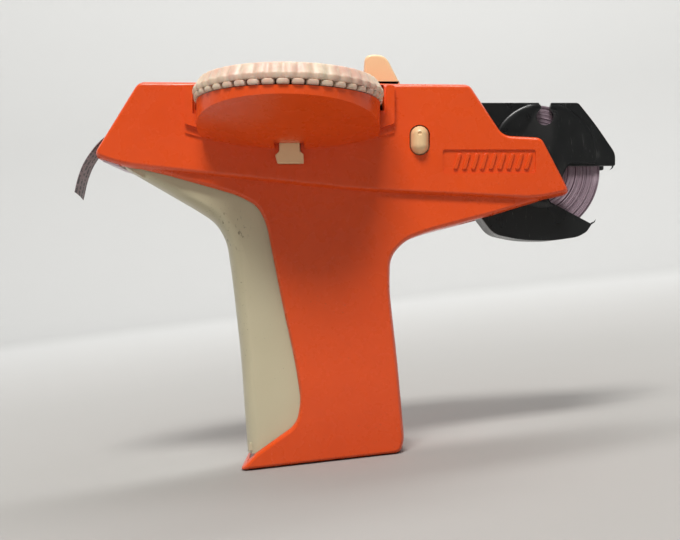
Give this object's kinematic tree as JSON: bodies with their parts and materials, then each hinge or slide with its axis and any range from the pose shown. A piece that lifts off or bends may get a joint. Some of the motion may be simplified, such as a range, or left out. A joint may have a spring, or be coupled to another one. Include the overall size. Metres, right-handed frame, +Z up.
{
  "type": "label embossing gun",
  "caption": "Pistol-shaped hand label embosser: orange two-part shell, hinged trigger, turning letter dial, thumb cut-off lever and a pull-out tape cassette.",
  "frame": {"origin": "centre of the flat base of the handle, so the gun stands upright on z = 0", "axes": "+X from the nose towards the tape cassette, +Z up along the handle, the letter dial on the -Y side"},
  "size_m": [0.1958, 0.0726, 0.1452],
  "materials": {
    "shell": "glossy moulded",
    "trigger": "satin moulded",
    "dial": "moulded",
    "controls": "moulded",
    "cassette": "scuffed",
    "spool": "moulded",
    "tape": "printed strip",
    "steel": "pressed",
    "rubber": "moulded"
  },
  "bodies": {
    "root": {"left_housing": "shell", "right_housing": "shell", "housing_screw_1": "steel", "housing_screw_2": "steel", "housing_screw_3": "steel", "housing_screw_4": "steel", "trigger_pivot_pin": "steel", "trigger_spring": "steel", "dial_axle": "steel", "dial_detent_spring": "steel", "press_spring": "steel", "mechanism_frame": "steel", "cut_lever_pin": "steel", "cut_lever_spring": "steel", "release_button_spring": "steel", "release_leaf": "steel", "tape_tail": "tape", "tape_guide": "steel", "nose_guide": "spool"},
    "trigger": {"trigger": "trigger"},
    "pawl": {"feed_pawl": "steel"},
    "dial": {"dial_letter_disc": "dial", "dial_finger_disc": "dial", "dial_hub": "dial"},
    "latch": {"dial_latch": "controls"},
    "plunger": {"press_plunger": "steel"},
    "feed_roller": {"feed_roller": "rubber", "feed_shaft": "steel", "ratchet_wheel": "steel"},
    "pinch_roller": {"pinch_roller": "rubber", "pinch_shaft": "steel"},
    "cut_lever": {"cut_lever": "controls"},
    "cutter_link": {"cutter_link": "steel"},
    "cutter_blade": {"cutter_blade": "steel"},
    "release_button": {"release_button": "controls"},
    "cassette": {"cassette_left_half": "cassette", "cassette_right_half": "cassette", "tape_leader": "tape"},
    "reel": {"spool_core": "spool", "tape_roll": "tape"}
  },
  "joints": [
    {"name": "trigger_squeeze", "type": "hinge", "parent": "root", "child": "trigger", "pos_m": [-0.05937, 0, 0.11586], "axis": [0, -1, 0], "range_deg": [0, 7], "stiffness_Nm_per_rad": 0.6, "springref_deg": -20.05, "deforming": ["trigger_spring"]},
    {"name": "pawl_swing", "type": "hinge", "parent": "trigger", "child": "pawl", "pos_m": [-0.04093, 0, 0.11427], "axis": [0, -1, 0], "range_deg": [0, 5], "stiffness_Nm_per_rad": 0.01, "springref_deg": -5.73},
    {"name": "dial_turn", "type": "hinge", "parent": "root", "child": "dial", "pos_m": [0.00236, -0.023, 0.12846], "axis": [0.1132, 0, 0.9936], "continuous": true},
    {"name": "dial_latch_slide", "type": "slide", "parent": "root", "child": "latch", "axis": [0.1132, 0, 0.9936], "range_m": [0, 0.0025], "stiffness_N_per_m": 400, "springref_m": -0.002},
    {"name": "press_slide", "type": "slide", "parent": "root", "child": "plunger", "axis": [0.1132, 0, 0.9936], "range_m": [0, 0.0028], "deforming": ["press_spring"]},
    {"name": "feed_roller_turn", "type": "hinge", "parent": "root", "child": "feed_roller", "pos_m": [-0.033, 0, 0.12645], "axis": [0, -1, 0], "continuous": true},
    {"name": "pinch_roller_turn", "type": "hinge", "parent": "root", "child": "pinch_roller", "pos_m": [-0.03214, 0, 0.134], "axis": [0, -1, 0], "continuous": true},
    {"name": "cut_lever_swing", "type": "hinge", "parent": "root", "child": "cut_lever", "pos_m": [0.0347, 0, 0.11994], "axis": [0, -1, 0], "range_deg": [0, 10], "stiffness_Nm_per_rad": 0.15, "springref_deg": -11.46, "deforming": ["cut_lever_spring"]},
    {"name": "cutter_link_slide", "type": "slide", "parent": "root", "child": "cutter_link", "axis": [0.9936, 0, -0.1132], "range_m": [0, 0.0012]},
    {"name": "cutter_blade_slide", "type": "slide", "parent": "root", "child": "cutter_blade", "axis": [0.1132, 0, 0.9936], "range_m": [0, 0.0019]},
    {"name": "release_button_push", "type": "slide", "parent": "root", "child": "release_button", "axis": [0, 1, 0], "range_m": [0, 0.0023], "stiffness_N_per_m": 600, "springref_m": -0.002, "deforming": ["release_button_spring"]},
    {"name": "cassette_slide", "type": "slide", "parent": "root", "child": "cassette", "axis": [0.9936, 0, -0.1132], "range_m": [0, 0.045]},
    {"name": "reel_turn", "type": "hinge", "parent": "cassette", "child": "reel", "pos_m": [0.08707, 0, 0.09465], "axis": [0, -1, 0], "continuous": true}
  ],
  "couplings": [
    {"joint": "press_slide", "follows": "trigger_squeeze", "m_per_rad": 0.022895},
    {"joint": "cutter_link_slide", "follows": "cut_lever_swing", "m_per_rad": 0.006869},
    {"joint": "cutter_blade_slide", "follows": "cut_lever_swing", "m_per_rad": 0.010875}
  ]
}
